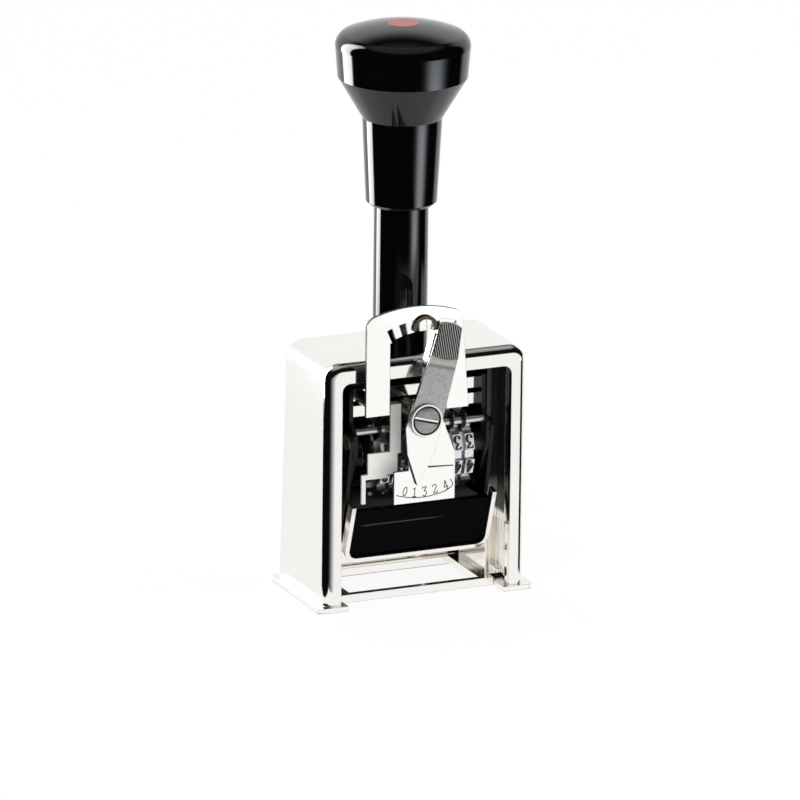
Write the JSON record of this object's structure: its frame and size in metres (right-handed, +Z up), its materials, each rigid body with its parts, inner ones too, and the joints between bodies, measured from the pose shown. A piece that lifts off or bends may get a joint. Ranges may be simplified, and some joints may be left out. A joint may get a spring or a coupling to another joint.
{
  "type": "numbering machine",
  "caption": "Self-inking numbering machine: nickel case, black plunger handle, setting lever, number wheels and a swinging ink pad.",
  "frame": {"origin": "middle of the machine's footprint, on the table that it stands on", "axes": "+Z up along the handle, -Y to the front where the setting lever is, +X to the user's right"},
  "size_m": [0.0698, 0.0474, 0.1725],
  "materials": {
    "nickel_plate": "mirror-polished nickel plate",
    "black_plastic": "polished black",
    "red_plastic": "glossy inlay",
    "zinc_steel": "turned steel",
    "spring_steel": "oil-tempered wire",
    "blackened_steel": "blackened, oiled",
    "screw_steel": "turned, slightly domed",
    "grey_steel": "satin",
    "bronze_spring": "bronze leaf",
    "black_enamel": "gloss",
    "ink_felt": "inked felt",
    "wheel_steel": "satin steel, black types"
  },
  "bodies": {
    "housing": {"case": "nickel_plate", "foot_left": "nickel_plate", "foot_right": "nickel_plate", "base_frame": "nickel_plate", "guide_rail_left": "nickel_plate", "guide_rail_right": "nickel_plate", "wall_liner_left": "nickel_plate", "wall_liner_right": "nickel_plate", "stem": "black_plastic", "stem_nut": "zinc_steel", "return_spring": "spring_steel"},
    "works": {"plunger_rod": "zinc_steel", "handle_sleeve": "black_plastic", "knob": "black_plastic", "knob_inlay": "red_plastic", "side_plate_left": "blackened_steel", "side_plate_right": "blackened_steel", "works_bridge": "blackened_steel", "cross_bar_lower": "nickel_plate", "cross_bar_upper": "nickel_plate", "wheel_shaft": "zinc_steel", "shaft_spacers": "zinc_steel", "detent_shaft": "zinc_steel", "detent_pawls": "blackened_steel", "arch_plate": "nickel_plate", "scale_plate": "nickel_plate", "arch_standoffs": "zinc_steel", "pivot_post": "zinc_steel", "pivot_screw": "screw_steel", "setting_bracket": "nickel_plate"},
    "drive_yoke": {"drive_arm_left": "blackened_steel", "drive_arm_right": "blackened_steel", "drive_pin": "zinc_steel", "drive_pawls": "blackened_steel"},
    "lever": {"setting_lever": "grey_steel", "pointer": "nickel_plate", "pivot_collar": "nickel_plate", "detent_spring": "bronze_spring"},
    "pad_carrier": {"ink_tray": "black_enamel", "ink_pad": "ink_felt", "pad_clip": "nickel_plate", "pad_arm_left": "blackened_steel", "pad_arm_right": "blackened_steel", "pad_pivot_pins": "zinc_steel"},
    "repeat_counter": {"repeat_ratchet": "blackened_steel"},
    "wheel_1": {"number_wheel_1": "wheel_steel"},
    "wheel_2": {"number_wheel_2": "wheel_steel"},
    "wheel_3": {"number_wheel_3": "wheel_steel"},
    "wheel_4": {"number_wheel_4": "wheel_steel"},
    "wheel_5": {"number_wheel_5": "wheel_steel"},
    "wheel_6": {"number_wheel_6": "wheel_steel"},
    "wheel_7": {"number_wheel_7": "wheel_steel"},
    "wheel_8": {"number_wheel_8": "wheel_steel"}
  },
  "joints": [
    {"name": "press", "type": "slide", "parent": "housing", "child": "works", "axis": [0, 0, -1], "range_m": [0, 0.0295], "stiffness_N_per_m": 300, "springref_m": -0.03, "deforming": ["return_spring"]},
    {"name": "pad_swing", "type": "hinge", "parent": "works", "child": "pad_carrier", "pos_m": [0, -0.01103, 0.05], "axis": [-1, 0, 0], "range_deg": [0, 110.2]},
    {"name": "drive_swing", "type": "hinge", "parent": "works", "child": "drive_yoke", "pos_m": [0, -0.00063, 0.0425], "axis": [1, 0, 0], "range_deg": [0, 38.2]},
    {"name": "selector", "type": "hinge", "parent": "works", "child": "lever", "pos_m": [-0.0027, -0.02103, 0.0578], "axis": [0, 1, 0], "range_deg": [-24.9, 8.3]},
    {"name": "repeat_spin", "type": "hinge", "parent": "works", "child": "repeat_counter", "pos_m": [0, -0.00063, 0.0425], "axis": [1, 0, 0], "continuous": true},
    {"name": "wheel_1_spin", "type": "hinge", "parent": "works", "child": "wheel_1", "pos_m": [0, -0.00063, 0.0425], "axis": [1, 0, 0], "continuous": true},
    {"name": "wheel_2_spin", "type": "hinge", "parent": "works", "child": "wheel_2", "pos_m": [0, -0.00063, 0.0425], "axis": [1, 0, 0], "continuous": true},
    {"name": "wheel_3_spin", "type": "hinge", "parent": "works", "child": "wheel_3", "pos_m": [0, -0.00063, 0.0425], "axis": [1, 0, 0], "continuous": true},
    {"name": "wheel_4_spin", "type": "hinge", "parent": "works", "child": "wheel_4", "pos_m": [0, -0.00063, 0.0425], "axis": [1, 0, 0], "continuous": true},
    {"name": "wheel_5_spin", "type": "hinge", "parent": "works", "child": "wheel_5", "pos_m": [0, -0.00063, 0.0425], "axis": [1, 0, 0], "continuous": true},
    {"name": "wheel_6_spin", "type": "hinge", "parent": "works", "child": "wheel_6", "pos_m": [0, -0.00063, 0.0425], "axis": [1, 0, 0], "continuous": true},
    {"name": "wheel_7_spin", "type": "hinge", "parent": "works", "child": "wheel_7", "pos_m": [0, -0.00063, 0.0425], "axis": [1, 0, 0], "continuous": true},
    {"name": "wheel_8_spin", "type": "hinge", "parent": "works", "child": "wheel_8", "pos_m": [0, -0.00063, 0.0425], "axis": [1, 0, 0], "continuous": true}
  ],
  "couplings": [
    {"joint": "pad_swing", "follows": "press", "rad_per_m": 65.08},
    {"joint": "drive_swing", "follows": "press", "rad_per_m": 22.482}
  ]
}
